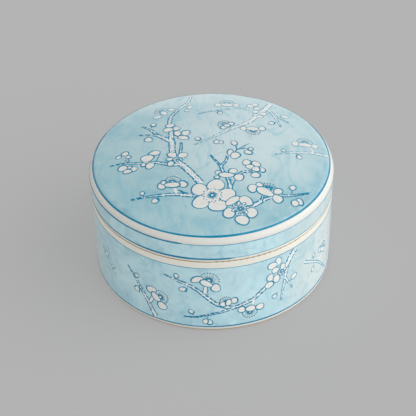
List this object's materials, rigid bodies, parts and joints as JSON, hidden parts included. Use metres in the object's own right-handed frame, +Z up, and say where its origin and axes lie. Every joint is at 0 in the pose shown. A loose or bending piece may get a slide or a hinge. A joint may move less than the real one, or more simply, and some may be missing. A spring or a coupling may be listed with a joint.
{
  "type": "round lidded porcelain box",
  "caption": "Round glazed porcelain box with straight sides and a domed lid that lifts off an upright collar, painted with branches in blossom.",
  "frame": {"origin": "centre of the foot, on the surface that the box stands on", "axes": "+Z up along the axis of the box, +X and +Y horizontal; the side seen in the picture faces -Y"},
  "size_m": [0.1506, 0.1506, 0.0812],
  "materials": {
    "bowl_glaze": "clear gloss glaze over a pale blue wash",
    "lid_glaze": "clear gloss glaze over a pale blue wash",
    "white_enamel": "glossy white painted decoration under the glaze",
    "blue_enamel": "glossy cobalt blue painted lines under the glaze"
  },
  "bodies": {
    "bowl": {"bowl": "bowl_glaze"},
    "lid": {"lid": "lid_glaze"}
  },
  "joints": [
    {"name": "lid_lift", "type": "slide", "parent": "bowl", "child": "lid", "axis": [0, 0, 1], "range_m": [0, 0.08]}
  ]
}
